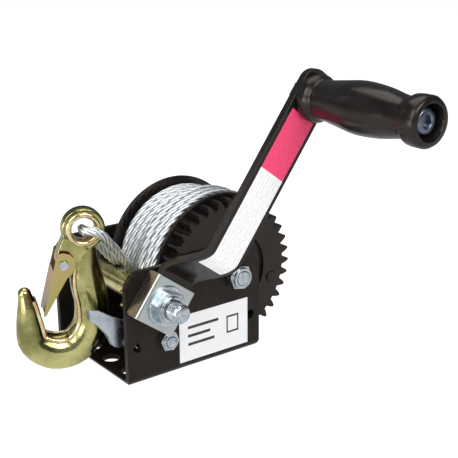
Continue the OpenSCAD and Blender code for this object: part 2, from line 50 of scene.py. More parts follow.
# Millimetres and degrees, the same as in the part's source
SHAFT = (-26.0, 46.0)
AXLE = (26.84, 48.0)
PAWL = (-19.2, 21.5)
CRANK_ANGLE = 53.3
CRANK_R = 129.0
HOOK_AT = (-50.2, -8.9, 83.2)
HOOK_TURN = -20.0
ROPE_R = 2.4
STRANDS = 6
GROOVE = 0.76  # depth of the grooves, as a part of the rope's radius
LAY = 31.0  # length in which a strand goes once round
DRUM_Y = (-24.1, 19.9)
PLATE_FACE = -39.0
# The free rope's middle line: from the drum to the plate's corner, then the loop
ROPE_IN = [(6, 4, 9.6), (0, 4, 13.6), (-6, 4, 18.9), (-11.4, 4, 24.2)]
LOOP = [
    (-14.4, 1.4, 29), (-16, 1.2, 36), (-16.9, 0.4, 44), (-17.6, -1.2, 49.5),
    (-19.6, -3.6, 53.7), (-25.6, -7.7, 59.9), (-32.3, -12.5, 67.3), (-39.9, -17.2, 75.3),
    (-43.9, -19.3, 79.9), (-47.9, -18.7, 82.9), (-50.4, -16.4, 83.5), (-51.9, -13.6, 83.5),
    (-51.2, -10.7, 83.2), (-49.2, -6.1, 82), (-47, -3.5, 79.6), (-43.3, -2.3, 75.2),
    (-37.7, -1.8, 69.8), (-30.9, 0.4, 61.8), (-24.3, 3.2, 55.6), (-20.4, 5.2, 54.3),
    (-17.7, 6.6, 51), (-16.9, 6.9, 45), (-16, 6.7, 37), (-14.4, 6.6, 29),
]


# ---------------------------------------------------------------- curves and meshes
def catmull(points, steps):
    """A smooth curve through the points, with steps between neighbours."""
    pts = [Vector(p) for p in points]
    out = []
    for i in range(len(pts) - 1):
        a, b = pts[max(i - 1, 0)], pts[i]
        c, d = pts[i + 1], pts[min(i + 2, len(pts) - 1)]
        for j in range(steps):
            t = j / steps
            out.append(
                0.5 * (2 * b + (c - a) * t + (2 * a - 5 * b + 4 * c - d) * t * t
                       + (3 * b - a - 3 * c + d) * t ** 3)
            )
    out.append(pts[-1])
    return out


def evenly(points, gap):
    """The same curve with points at an even spacing."""
    total = sum((b - a).length for a, b in zip(points, points[1:]))
    count = max(2, round(total / gap))
    out, i, walked = [points[0].copy()], 0, 0.0
    for k in range(1, count):
        want = total * k / count
        while walked + (points[i + 1] - points[i]).length < want:
            walked += (points[i + 1] - points[i]).length
            i += 1
        part = (want - walked) / (points[i + 1] - points[i]).length
        out.append(points[i].lerp(points[i + 1], part))
    out.append(points[-1].copy())
    return out


def tangent(points, i):
    """The curve's direction at one of its points."""
    return (points[min(i + 1, len(points) - 1)] - points[max(i - 1, 0)]).normalized()


def carried_frames(points):
    """Two side directions at every point, carried along the curve without twist."""
    side = None
    frames = []
    for i in range(len(points)):
        t = tangent(points, i)
        if side is None:
            side = t.cross(Vector((0.1, 0.3, 1))).normalized()
        side = (side - t * side.dot(t)).normalized()
        frames.append((side.copy(), t.cross(side)))
    return frames


def around(count):
    """Angles evenly spaced over one turn."""
    return [math.tau * k / count for k in range(count)]


def circle(x, y, z, radius, steps):
    """A line round an axis along Y, with its last point on its first."""
    angles = (math.tau * k / steps for k in range(steps + 1))
    return [(x + radius * math.cos(a), y, z + radius * math.sin(a)) for a in angles]


def strand_radius(angle):
    """Outline of the rope as a part of its radius: each strand a third of it, two thirds out."""
    step = math.tau / STRANDS
    off = (angle + step / 2) % step - step / 2
    inner = 4 / 9 * math.sin(off) ** 2
    return max(GROOVE, 2 / 3 * math.cos(off) + math.sqrt(max(1 / 9 - inner, 0)))


def new_object(name, mesh):
    obj = bpy.data.objects.new(name, mesh)
    bpy.context.scene.collection.objects.link(obj)
    return obj


def mesh_object(name, verts, faces, sharp, uvs=None):
    """An object from vertices in millimetres, smooth but for edges over an angle in degrees."""
    mesh = bpy.data.meshes.new(name)
    mesh.from_pydata([Vector(v) * MM for v in verts], [], faces)
    if uvs:
        layer = mesh.uv_layers.new(name="UVMap")
        for face in mesh.polygons:
            top = max(uvs[v][0] for v in face.vertices)
            for loop, v in zip(face.loop_indices, face.vertices):
                u = uvs[v][0]
                # U counts a rope's strands, so it runs on where a face crosses the seam
                layer.data[loop].uv = (u + STRANDS if top - u > 2 else u, uvs[v][1])
    mesh.shade_smooth()
    mesh.set_sharp_from_angle(angle=math.radians(sharp))
    return new_object(name, mesh)


def skin(rings, sides):
    """Faces over a row of rings of vertices, closed at both ends."""
    faces = []
    for i in range(rings - 1):
        for k in range(sides):
            n = (k + 1) % sides
            faces.append((i * sides + k, i * sides + n, (i + 1) * sides + n, (i + 1) * sides + k))
    last = (rings - 1) * sides
    faces.append(tuple(range(sides - 1, -1, -1)))
    faces.append(tuple(last + k for k in range(sides)))
    return faces


def rope_mesh(points, sides, gap, lay=LAY):
    """Vertices, faces and UVs of the stranded rope along a curve."""
    line = evenly(points, gap)
    verts, uvs = [], []
    walked = 0.0
    for i, (p, (a, b)) in enumerate(zip(line, carried_frames(line))):
        if i:
            walked += (p - line[i - 1]).length
        turn = math.tau * walked / lay
        for k, ang in enumerate(around(sides)):
            r = ROPE_R * strand_radius(ang)
            verts.append(p + r * (math.cos(ang + turn) * a + math.sin(ang + turn) * b))
            uvs.append((STRANDS * k / sides, walked / ROPE_R))
    return verts, skin(len(line), sides), uvs


def tube_mesh(points, radius, sides):
    """Vertices and faces of a plain round tube along a curve."""
    verts = [p + radius * (math.cos(ang) * a + math.sin(ang) * b)
             for p, (a, b) in zip(points, carried_frames(points)) for ang in around(sides)]
    return verts, skin(len(points), sides)


def lathe(x, z, profile, sides):
    """Vertices and faces of a profile of (radius, y) turned about a line along Y."""
    verts = [(x + r * math.cos(ang), y, z + r * math.sin(ang))
             for r, y in profile for ang in around(sides)]
    return verts, skin(len(profile), sides)


def join(*parts):
    """Several (vertices, faces) as one."""
    verts, faces = [], []
    for v, f in parts:
        base = len(verts)
        verts += list(v)
        faces += [tuple(base + i for i in face) for face in f]
    return verts, faces


def along_crank(s, y, across):
    """From distances along and across the crank arm to the winch's frame."""
    a = math.radians(CRANK_ANGLE)
    x = SHAFT[0] + s * math.cos(a) - across * math.sin(a)
    z = SHAFT[1] + s * math.sin(a) + across * math.cos(a)
    return Vector((x, y, z))


def at_hook(x, y, z):
    """From the hook's own plane to the winch's frame."""
    a = math.radians(HOOK_TURN)
    return Vector((
        HOOK_AT[0] + x * math.cos(a) - y * math.sin(a),
        HOOK_AT[1] + x * math.sin(a) + y * math.cos(a),
        HOOK_AT[2] + z,
    ))


# ---------------------------------------------------------------- finishes
# The sockets of a colour mix node, which share their names with its other kinds of data
MIX_FACTOR, MIX_A, MIX_B, MIX_RESULT = 0, 6, 7, 2


def socket_value(node, name, value):
    node.inputs[name].default_value = value


def new_node(tree, kind, **values):
    """A shader node with inputs set: from_min is for the input called From Min."""
    node = tree.nodes.new("ShaderNode" + kind)
    for name, value in values.items():
        socket_value(node, name.replace("_", " ").title(), value)
    return node


def new_material(name):
    """An empty material, its node tree and its shader."""
    mat = bpy.data.materials.new(name)
    mat.use_nodes = True
    return mat, mat.node_tree, mat.node_tree.nodes["Principled BSDF"]


def colour_ramp(tree, stops, source):
    """A ramp node over a value, with stops of (place, colour)."""
    ramp = new_node(tree, "ValToRGB")
    elements = ramp.color_ramp.elements
    for element, (place, colour) in zip(elements, (stops[0], stops[-1])):
        element.position = place
        element.color = (*colour, 1)
    for place, colour in stops[1:-1]:
        elements.new(place).color = (*colour, 1)
    tree.links.new(source, ramp.inputs["Fac"])
    return ramp


def mix_node(tree, blend):
    """A node that mixes two colours."""
    mix = new_node(tree, "Mix")
    mix.data_type = "RGBA"
    mix.blend_type = blend
    return mix


def multiply(tree, first, second):
    """The product of two colours."""
    mix = mix_node(tree, "MULTIPLY")
    mix.inputs[MIX_FACTOR].default_value = 1.0
    tree.links.new(first, mix.inputs[MIX_A])
    tree.links.new(second, mix.inputs[MIX_B])
    return mix.outputs[MIX_RESULT]


def tinted(tree, base, tint, vector):
    """A colour with another one mixed in where a vector reaches along a direction."""
    direction, colour, low, high, amount = tint
    dot = new_node(tree, "VectorMath")
    dot.operation = "DOT_PRODUCT"
    dot.inputs[1].default_value = Vector(direction).normalized()
    tree.links.new(vector, dot.inputs[0])
    span = new_node(tree, "MapRange", from_min=low, from_max=high, to_max=amount)
    tree.links.new(dot.outputs["Value"], span.inputs["Value"])
    mix = mix_node(tree, "MIX")
    mix.inputs[MIX_B].default_value = (*colour, 1)
    tree.links.new(span.outputs["Result"], mix.inputs[MIX_FACTOR])
    tree.links.new(base, mix.inputs[MIX_A])
    return mix.outputs[MIX_RESULT]


def vary_gloss(tree, shader, source, **span):
    """Roughness that follows a value over the span's range."""
    gloss = new_node(tree, "MapRange", **span)
    tree.links.new(source, gloss.inputs["Value"])
    tree.links.new(gloss.outputs["Result"], shader.inputs["Roughness"])


def add_bumps(tree, shader, height, strength, distance):
    """Bumps that follow a value; the distance is in metres."""
    relief = new_node(tree, "Bump", strength=strength, distance=distance)
    tree.links.new(height, relief.inputs["Height"])
    tree.links.new(relief.outputs["Normal"], shader.inputs["Normal"])


def finish(name, stops, rough, metal=0.0, patch=120.0, grain=2500.0, bump=0.04,
           side_shading=None, height_shading=None, spec=0.5, spec_tint=(1, 1, 1)):
    """A painted, plated or moulded finish with patches of tone, grain and fine bumps.

    A shading is (direction, colour, low, high, amount): painted light and shade. A side shading
    lightens or darkens by the way the surface faces, and a height shading by its place in metres.
    """
    mat, tree, shader = new_material(name)
    coords = new_node(tree, "TexCoord")
    patches = new_node(tree, "TexNoise", scale=patch, detail=5.0, roughness=0.6)
    fine = new_node(tree, "TexNoise", scale=grain, detail=3.0)
    for texture in (patches, fine):
        tree.links.new(coords.outputs["Object"], texture.inputs["Vector"])
    base = colour_ramp(tree, stops, patches.outputs["Fac"]).outputs["Color"]
    # Painted light and shade, by the surface's place and by the way it faces
    for tint, space in ((height_shading, "Object"), (side_shading, "Normal")):
        if tint:
            base = tinted(tree, base, tint, coords.outputs[space])
    tree.links.new(base, shader.inputs["Base Color"])
    vary_gloss(tree, shader, patches.outputs["Fac"],
               from_min=0.3, from_max=0.7, to_min=rough[0], to_max=rough[1])
    add_bumps(tree, shader, fine.outputs["Fac"], bump, 0.0004)
    socket_value(shader, "Metallic", metal)
    socket_value(shader, "Specular IOR Level", spec)
    socket_value(shader, "Specular Tint", (*spec_tint, 1))
    return mat


WARM = (1.0, 0.84, 0.76)  # the tint of the black coats' reflections
BLACK = finish(
    "black coat", [(0.3, (0.0085, 0.0065, 0.0055)), (0.7, (0.017, 0.0135, 0.0115))],
    (0.22, 0.34), patch=90, grain=1500, bump=0.07, spec=0.25, spec_tint=WARM)
ARM_BLACK = finish(
    "black arm coat", [(0.3, (0.008, 0.007, 0.0065)), (0.7, (0.015, 0.013, 0.012))],
    (0.13, 0.22), patch=80, grain=1400, bump=0.05, spec=0.38, spec_tint=WARM)
ZINC = finish(
    "bright zinc",
    [(0.3, (0.30, 0.38, 0.46)), (0.5, (0.52, 0.57, 0.61)), (0.7, (0.70, 0.71, 0.69))],
    (0.17, 0.30), metal=1, patch=260, grain=2600, bump=0.06)
# Its side shading gives faces that turn up and to the left a brownish colour, as a painted
# reflection
PALE_ZINC = finish(
    "pale zinc sheet",
    [(0.3, (0.40, 0.47, 0.53)), (0.5, (0.52, 0.56, 0.54)), (0.72, (0.46, 0.53, 0.60))],
    (0.24, 0.36), metal=1, patch=110, grain=2200, bump=0.05,
    side_shading=((-0.80, 0.0, 0.60), (0.42, 0.36, 0.30), 0.55, 0.95, 0.8))
PAWL_ZINC = finish(
    "pawl zinc",
    [(0.3, (0.34, 0.40, 0.48)), (0.6, (0.58, 0.63, 0.68)), (0.75, (0.44, 0.49, 0.58))],
    (0.22, 0.36), metal=1, patch=130, grain=2200, bump=0.05)
YELLOW = finish(
    "yellow zinc",
    [(0.28, (0.38, 0.36, 0.12)), (0.45, (0.68, 0.60, 0.26)), (0.58, (0.80, 0.74, 0.42)),
     (0.72, (0.70, 0.46, 0.32))],
    (0.18, 0.32), metal=1, patch=170, grain=2400, bump=0.06)
# Painted light: the side shading darkens faces that turn to the right as painted shade, and the
# height shading lightens the lowest part of the bow as a painted highlight
HOOK_YELLOW = finish(
    "yellow zinc forging",
    [(0.30, (0.13, 0.14, 0.05)), (0.45, (0.30, 0.29, 0.11)), (0.56, (0.50, 0.47, 0.20)),
     (0.72, (0.64, 0.40, 0.24))],
    (0.13, 0.25), metal=1, patch=45, grain=900, bump=0.12,
    side_shading=((0.94, -0.34, 0.0), (0.03, 0.03, 0.012), 0.02, 0.62, 0.97),
    height_shading=((0.35, 0.0, -1.0), (0.88, 0.85, 0.38), -0.048, -0.022, 0.92))
RIM_YELLOW = finish(
    "yellow zinc rim",
    [(0.30, (0.56, 0.36, 0.16)), (0.48, (0.76, 0.60, 0.34)), (0.60, (0.84, 0.76, 0.46)),
     (0.74, (0.74, 0.46, 0.34))],
    (0.14, 0.26), metal=1, patch=110, grain=1500, bump=0.08)
# Painted light: the side shading lightens faces that turn to the front, and the height shading
# darkens the latch towards its bottom as painted shade
LATCH_YELLOW = finish(
    "yellow zinc sheet",
    [(0.30, (0.36, 0.18, 0.05)), (0.55, (0.52, 0.28, 0.11)), (0.72, (0.60, 0.34, 0.20))],
    (0.20, 0.34), metal=1, patch=140, grain=1800, bump=0.08,
    side_shading=((-0.34, -0.94, 0.0), (0.50, 0.48, 0.19), 0.5, 0.95, 0.7),
    height_shading=((0.0, 0.0, -1.0), (0.12, 0.10, 0.03), -0.060, -0.036, 0.85))
DULL_ZINC = finish(
    "dull zinc",
    [(0.3, (0.10, 0.12, 0.16)), (0.5, (0.17, 0.20, 0.25)), (0.7, (0.26, 0.29, 0.33))],
    (0.26, 0.42), metal=1, patch=240, grain=2400, bump=0.10)
STEEL = finish(
    "plain steel", [(0.3, (0.30, 0.31, 0.32)), (0.7, (0.52, 0.53, 0.54))],
    (0.24, 0.40), metal=1, patch=220, grain=2600, bump=0.06)
FERRULE = finish(
    "pressed ferrule", [(0.3, (0.48, 0.49, 0.50)), (0.7, (0.66, 0.67, 0.68))],
    (0.34, 0.50), metal=1, patch=300, grain=1500, bump=0.16)
GRIP = finish(
    "moulded grip", [(0.3, (0.006, 0.0055, 0.0055)), (0.7, (0.011, 0.010, 0.0095))],
    (0.18, 0.30), patch=60, grain=1700, bump=0.07, spec=0.40, spec_tint=WARM)
BUSH = finish(
    "moulded bush", [(0.3, (0.04, 0.04, 0.042)), (0.7, (0.07, 0.07, 0.072))],
    (0.42, 0.56), patch=160, grain=1800, bump=0.08)
PALE_BUSH = finish(
    "pale moulded bush", [(0.3, (0.60, 0.57, 0.50)), (0.7, (0.74, 0.71, 0.64))],
    (0.40, 0.55), patch=160, grain=1800, bump=0.08)
INK = finish(
    "printed ink", [(0.3, (0.035, 0.035, 0.04)), (0.7, (0.06, 0.06, 0.065))],
    (0.4, 0.5), patch=300, grain=2500, bump=0.03, spec=0.25)


def groove_shade_mask(tree, coords):
    """Painted shade: bright along each strand and dark in the grooves between strands, from U."""
    split = new_node(tree, "SeparateXYZ")
    tree.links.new(coords.outputs["UV"], split.inputs["Vector"])
    part = new_node(tree, "Math")
    part.operation = "FRACT"
    tree.links.new(split.outputs["X"], part.inputs[0])
    bright, dark = (1, 1, 1), (0.20, 0.22, 0.24)
    stops = [(0.30, bright), (0.5, dark), (0.70, bright)]
    return colour_ramp(tree, stops, part.outputs[0]).outputs["Color"]


def rope_finish():
    """Galvanised wire: fine wires run across each strand, from the rope's own UVs."""
    mat = finish(
        "galvanised rope",
        [(0.28, (0.74, 0.78, 0.82)), (0.5, (0.86, 0.89, 0.91)), (0.72, (0.96, 0.97, 0.97))],
        (0.30, 0.42), metal=1, patch=210, grain=2600, bump=0.05)
    tree = mat.node_tree
    shader = tree.nodes["Principled BSDF"]
    coords = new_node(tree, "TexCoord")
    plain = shader.inputs["Base Color"].links[0].from_socket
    # The grooves between strands are darkened as painted shade
    groove_shaded = multiply(tree, plain, groove_shade_mask(tree, coords))
    tree.links.new(groove_shaded, shader.inputs["Base Color"])
    mapping = new_node(tree, "Mapping", rotation=(0, 0, math.radians(38)))
    wires = new_node(tree, "TexWave", scale=1.2, distortion=0.3)
    tree.links.new(coords.outputs["UV"], mapping.inputs["Vector"])
    tree.links.new(mapping.outputs["Vector"], wires.inputs["Vector"])
    add_bumps(tree, shader, wires.outputs["Fac"], 0.4, 0.0002)
    return mat


ROPE = rope_finish()


def label_finish(name, bands, aspect, dash, row, greys):
    """Printed film: two bands of (start, colour) along U, with rows of faint short dashes."""
    mat, tree, shader = new_material(name)
    coords = new_node(tree, "TexCoord")
    split = new_node(tree, "SeparateXYZ")
    tree.links.new(coords.outputs["UV"], split.inputs["Vector"])
    fields = colour_ramp(tree, bands, split.outputs["X"])
    fields.color_ramp.interpolation = "CONSTANT"
    first, second = ((grey, grey, grey, 1) for grey in greys)
    dashes = new_node(
        tree, "TexBrick", color1=first, color2=second, mortar=(1, 1, 1, 1), scale=1.0,
        mortar_size=row * 0.30, mortar_smooth=0.3, brick_width=dash, row_height=row)
    dashes.offset = 0.37
    dashes.squash = 0.6
    dashes.squash_frequency = 3
    spread = new_node(tree, "Mapping", scale=(aspect, 1, 1))
    tree.links.new(coords.outputs["UV"], spread.inputs["Vector"])
    tree.links.new(spread.outputs["Vector"], dashes.inputs["Vector"])
    printed = multiply(tree, fields.outputs["Color"], dashes.outputs["Color"])
    tree.links.new(printed, shader.inputs["Base Color"])
    wear = new_node(tree, "TexNoise", scale=300.0)
    tree.links.new(coords.outputs["Object"], wear.inputs["Vector"])
    vary_gloss(tree, shader, wear.outputs["Fac"], to_min=0.3, to_max=0.5)
    socket_value(shader, "Specular IOR Level", 0.25)
    return mat


# ---------------------------------------------------------------- camera, light, floor
def make_camera():
    """The photo's view: turn, height and roll in degrees, target and distance in millimetres."""
    azimuth, elevation, roll = (math.radians(v) for v in (-36.886, 18.093, -0.475))
    target = Vector((56.586, 5.728, 57.120)) * MM
    distance = 605.98
    back = Vector((
        math.sin(azimuth) * math.cos(elevation),
        -math.cos(azimuth) * math.cos(elevation),
        math.sin(elevation),
    ))
    right = (-back).cross(Vector((0, 0, 1))).normalized()
    up = right.cross(-back)
    right_rolled = right * math.cos(roll) + up * math.sin(roll)
    up_rolled = up * math.cos(roll) - right * math.sin(roll)
    turn = Matrix((right_rolled, up_rolled, back)).transposed().to_4x4()
    data = bpy.data.cameras.new("camera")
    data.sensor_width = 36
    data.lens = 78.99
    data.clip_start = 0.01
    cam = bpy.data.objects.new("camera", data)
    cam.matrix_world = Matrix.Translation(target + back * distance * MM) @ turn
    bpy.context.scene.collection.objects.link(cam)
    bpy.context.scene.camera = cam


def make_world():
    """A dim studio, which the camera itself sees as white."""
    world = bpy.data.worlds.new("studio")
    bpy.context.scene.world = world
    world.use_nodes = True
    tree = world.node_tree
    dim = tree.nodes["Background"]
    socket_value(dim, "Color", (0.97, 0.98, 1.0, 1))
    socket_value(dim, "Strength", 0.16)
    bright = new_node(tree, "Background", color=(1, 1, 1, 1), strength=1.1)
    seen = new_node(tree, "LightPath")
    choose = new_node(tree, "MixShader")
    tree.links.new(seen.outputs["Is Camera Ray"], choose.inputs[0])
    tree.links.new(dim.outputs[0], choose.inputs[1])
    tree.links.new(bright.outputs[0], choose.inputs[2])
    tree.links.new(choose.outputs[0], tree.nodes["World Output"].inputs["Surface"])


# Name, place, the point it faces, size (all in metres) and power in watts
SOFTBOXES = [
    ("key", (-0.8, -0.25, 0.7), (0, 0, 0.05), (0.6, 0.6), 5.0),
    ("top", (0.1, 0.15, 1.2), (0, 0, 0), (1.0, 1.0), 6.0),
    ("front", (-0.05, -1.0, 0.8), (0, 0, 0.06), (0.8, 0.5), 8.0),
    ("rim", (-0.75, 1.2, 0.8), (0, 0, 0.08), (0.10, 0.5), 0.25),
    ("low", (-0.9, -0.15, 0.12), (0, 0, 0.04), (0.7, 0.22), 2.6),
]


def softbox(name, place, look, size, power):
    data = bpy.data.lights.new(name, "AREA")
    data.shape = "RECTANGLE"
    data.size, data.size_y = size
    data.energy = power
    light = bpy.data.objects.new(name, data)
    light.location = place
    light.rotation_euler = (Vector(look) - Vector(place)).to_track_quat("-Z", "Y").to_euler()
    bpy.context.scene.collection.objects.link(light)


def make_floor():
    """White paper that glows more for the camera than for its reflections in the winch."""
    half = 6.0
    mesh = bpy.data.meshes.new("floor")
    mesh.from_pydata([(-half, -half, 0), (half, -half, 0), (half, half, 0), (-half, half, 0)],
                     [], [(0, 1, 2, 3)])
    paper = finish("floor paper", [(0.3, (0.42, 0.42, 0.42)), (0.7, (0.46, 0.46, 0.46))],
                   (0.7, 0.8), patch=3, grain=40, bump=0.0)
    tree = paper.node_tree
    shader = tree.nodes["Principled BSDF"]
    socket_value(shader, "Emission Color", (1, 1, 1, 1))
    seen = new_node(tree, "LightPath")
    glow = new_node(tree, "MapRange", to_min=0.32, to_max=0.90)
    tree.links.new(seen.outputs["Is Camera Ray"], glow.inputs["Value"])
    tree.links.new(glow.outputs["Result"], shader.inputs["Emission Strength"])
    mesh.materials.append(paper)
    new_object("floor", mesh)


make_camera()
make_world()
for box in SOFTBOXES:
    softbox(*box)
make_floor()
bpy.context.scene.view_settings.view_transform = "Standard"


# ---------------------------------------------------------------- putting pieces on the frame
def paint(obj, material):
    obj.data.materials.clear()
    obj.data.materials.append(material)


def mount(obj, material, node):
    """The piece stands for this CAD node and moves with its body."""
    paint(obj, material)
    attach(obj, BODY[node])
    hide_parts(node)
    return obj


def add_on(obj, material, node):
    """The piece is extra: it moves with this CAD node's body and is made like that one."""
    paint(obj, material)
    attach(obj, BODY[node])


def clean_copy(node):
    """A bmesh of a CAD node with its flat faces whole again."""
    bm = bmesh.new()
    bm.from_mesh(NODES[node].data)
    bmesh.ops.remove_doubles(bm, verts=bm.verts, dist=2e-6)
    bmesh.ops.dissolve_limit(bm, angle_limit=math.radians(0.6), verts=bm.verts, edges=bm.edges)
    return bm


def look_object(node, bm):
    """An object from the bmesh, named after the CAD node."""
    mesh = bpy.data.meshes.new(node + "_look")
    bm.to_mesh(mesh)
    bm.free()
    return new_object(node + "_look", mesh)


def soften(obj, width, sharp, segments):
    """Edges over an angle in degrees broken to a width in millimetres."""
    mod = obj.modifiers.new("edges", "BEVEL")
    mod.width = width * MM
    mod.segments = segments
    mod.limit_method = "ANGLE"
    mod.angle_limit = math.radians(sharp)
    mod.harden_normals = True
    mod.use_clamp_overlap = True


def refine(node, material, width, sharp=30.0, segments=2, trim=None, fold=None):
    """The CAD node with its edges broken.

    Trim is (y, shift): what lies nearer than y moves back by shift. Fold is (test, radius)
    for an edge that is rounded more than the others.
    """
    bm = clean_copy(node)
    if trim:
        near, shift = trim
        for v in bm.verts:
            if (v.co / MM).y < near:
                v.co.y += shift * MM
    if fold:
        test, radius = fold
        edges = [e for e in bm.edges if test(*(v.co / MM for v in e.verts))]
        bmesh.ops.bevel(bm, geom=edges, offset=radius * MM, segments=5, affect="EDGES",
                        profile=0.5, clamp_overlap=True)
    obj = look_object(node, bm)
    obj.data.shade_smooth()
    obj.data.set_sharp_from_angle(angle=math.radians(sharp))
    if width:
        soften(obj, width, sharp, segments)
    mount(obj, material, node)


refine("frame", BLACK, 0.45, segments=3)
refine("drum_tube", BLACK, 0.3)
refine("near_flange", ARM_BLACK, 0.5, segments=3)
refine("far_flange", ARM_BLACK, 0.5, segments=3)
refine("drum_gear", ARM_BLACK, 0.4, sharp=24)
refine("gear_rivets", ARM_BLACK, 0.6, segments=3)
refine("drum_bushes", PALE_BUSH, 0.2)
refine("rope_clamp", ZINC, 0.3)
refine("axle_bolt", ZINC, 0.4)
refine("axle_sleeve", STEEL, 0.2)
refine("axle_nut", ZINC, 0.7, segments=4)
refine("pinion", YELLOW, 0.25, sharp=24)
refine("near_shaft_bush", BUSH, 0.2)
refine("far_shaft_bush", BUSH, 0.2)
refine("shaft_clip", STEEL, 0.1)
refine("crank_spacer", PALE_ZINC, 0.3)
refine("crank_arm", ARM_BLACK, 0.7, segments=3)
refine("crank_washer", ZINC, 0.3)
refine("crank_nut", ZINC, 0.7, segments=4)
refine("grip", GRIP, 0.25, sharp=40)
refine("grip_nut", ZINC, 0.5)
refine("pawl", PAWL_ZINC, 0.45, segments=3)
refine("pawl_bolt", ZINC, 0.3)
refine("pawl_nut", ZINC, 0.5, segments=4)
refine("pawl_spacer", STEEL, 0.2)
refine("pawl_spring", STEEL, 0.0, sharp=60)
refine("latch_spring", STEEL, 0.0, sharp=60)
refine("latch_pin", ZINC, 0.3)
refine("hook_latch", LATCH_YELLOW, 0.45, segments=3)
refine("rope_ferrule", FERRULE, 0.8, segments=3)
# The shaft's plain end is drawn in, behind the thread that shaft_thread puts round it
refine("drive_shaft", YELLOW, 0.5, trim=(-57.5, 7.0))


def outer_bend(*points):
    """Whether points are on the outer edge of the crank bracket's fold."""
    edge, face, near = 13.4, -49.5, 0.1
    a = math.radians(CRANK_ANGLE)
    across = [(p.z - SHAFT[1]) * math.cos(a) - (p.x - SHAFT[0]) * math.sin(a) for p in points]
    return all(abs(c - edge) < near and abs(p.y - face) < near for c, p in zip(across, points))


refine("crank_bracket", PALE_ZINC, 0.35, fold=(outer_bend, 1.8))


def forge(node, material):
    """The CAD node with its joins run together, as a forging has them."""
    obj = look_object(node, clean_copy(node))
    remesh = obj.modifiers.new("remesh", "REMESH")
    remesh.mode = "VOXEL"
    remesh.voxel_size = 0.45 * MM
    remesh.use_smooth_shade = True
    smooth = obj.modifiers.new("smooth", "SMOOTH")
    smooth.iterations = 6
    smooth.factor = 0.5
    mount(obj, material, node)


forge("hook", HOOK_YELLOW)


# The hook's middle line in its own plane: x, z, half width and half thickness
HOOK_STATIONS = [
    (0.3, -18.6, 7.2, 5.2), (0.8, -29.6, 9.1, 6.4), (2.5, -42.2, 9.0, 7.4),
    (1.1, -55.8, 9.2, 8.2), (-6.9, -66.2, 9.7, 8.6), (-18.75, -67.9, 9.9, 8.6),
    (-28.8, -61.6, 8.6, 7.8), (-30.8, -50.6, 7.2, 6.8), (-31.4, -40.2, 5.2, 5.4),
    (-32.4, -33.2, 3.4, 3.6),
]


def hook_rims():
    """The rolled rim along the throat's inner edge on both sides, and round the eye."""
    inward, outward = 0.80, 0.58  # parts of the half width and the half thickness
    throat_bead, eye_bead, eye_radius, eye_side = 1.4, 1.7, 7.9, 2.8
    centre = catmull([(x, 0, z) for x, z, w, t in HOOK_STATIONS], 6)
    sizes = catmull([(w, 0, t) for x, z, w, t in HOOK_STATIONS], 6)
    beads = []
    for side in (-1, 1):
        line = []
        for i, (p, size) in enumerate(zip(centre, sizes)):
            t = tangent(centre, i)
            spot = p + Vector((t.z, 0, -t.x)) * size.x * inward
            line.append(at_hook(spot.x, side * size.z * outward, spot.z))
        beads.append(tube_mesh(line[2:-4], throat_bead, 20))
        eye = circle(0, side * eye_side, 0, eye_radius, 96)
        beads.append(tube_mesh([at_hook(*p) for p in eye], eye_bead, 20))
    verts, faces = join(*beads)
    add_on(mesh_object("hook_rims", verts, faces, 60), RIM_YELLOW, "hook")


hook_rims()


def grip_bolt():
    """Round-headed bolt with a socket, sunk in the grip's end."""
    head, tip, shank, head_r, socket_r = -146.6, -61.5, 4.0, 6.6, 3.0
    profile = [(3.4, tip), (shank, tip - 0.6), (shank, head), (6.3, head), (head_r, head - 0.5),
               (head_r, head - 3.6), (6.0, head - 4.6), (5.0, head - 5.0), (3.5, head - 5.0),
               (3.1, head - 4.6), (socket_r, head - 2.6)]
    axis = along_crank(CRANK_R, 0, 0)
    verts, faces = lathe(axis.x, axis.z, profile, 64)
    mount(mesh_object("grip_bolt_look", verts, faces, 40), DULL_ZINC, "grip_bolt")


# Each lock nut's axis, and the Y and radius of the painted shade in the gap round its bolt's end
NUT_GAP_SHADES = {
    "axle_nut": (AXLE, -47.0, 4.1),
    "pawl_nut": (PAWL, -43.5, 3.1),
    "crank_nut": (SHAFT, -57.0, 5.35),
}


def nut_gap_shades():
    """Thin dark rings as painted shade in the gaps between bolt ends and lock nut collars."""
    bead = 0.28
    for node, ((x, z), y, radius) in NUT_GAP_SHADES.items():
        ring = [Vector(p) for p in circle(x, y, z, radius, 64)]
        verts, faces = tube_mesh(ring, bead, 10)
        # The dark bush finish here is painted shade in the gap, not a part
        add_on(mesh_object(node + "_gap", verts, faces, 60), BUSH, node)


def shaft_thread():
    """Thread and chamfer of the shaft's end outside the crank nut."""
    start, end, pitch, low, high = -57.0, -64.2, 1.0, 4.72, 5.22
    chamfer = [(4.6, -64.6), (3.9, -65.05)]
    profile = [(low, start)]
    y = start
    while y - pitch >= end:
        profile += [(high, y - 0.45 * pitch), (low, y - pitch)]
        y -= pitch
    verts, faces = lathe(SHAFT[0], SHAFT[1], profile + chamfer, 48)
    thread = mesh_object("shaft_thread", verts, faces, 50)
    add_on(thread, ZINC, "drive_shaft")


shaft_thread()
grip_bolt()
nut_gap_shades()


# ---------------------------------------------------------------- rope
def winding(start_y, end_y, radius, gap, wave, first_angle):
    """Points of wraps round the drum; wave moves them sideways and in and out."""
    axle = Vector((AXLE[0], 0, AXLE[1]))
    per_turn = 96
    turns = abs(end_y - start_y) / gap
    points = []
    for i in range(int(turns * per_turn) + 1):
        turn = i / per_turn
        ang = first_angle + math.tau * turn
        y = start_y + math.copysign(gap * turn, end_y - start_y)
        y += wave[0] * math.sin(ang * 1.13)
        r = radius + wave[1] * math.sin(3.1 * turn + 0.6)
        points.append(axle + Vector((r * math.cos(ang), y, r * math.sin(ang))))
    return points


def wrap_lay(radius, strands):
    """The lay that puts a whole number of strands on a turn, so that neighbours line up."""
    return STRANDS * math.tau * radius / strands


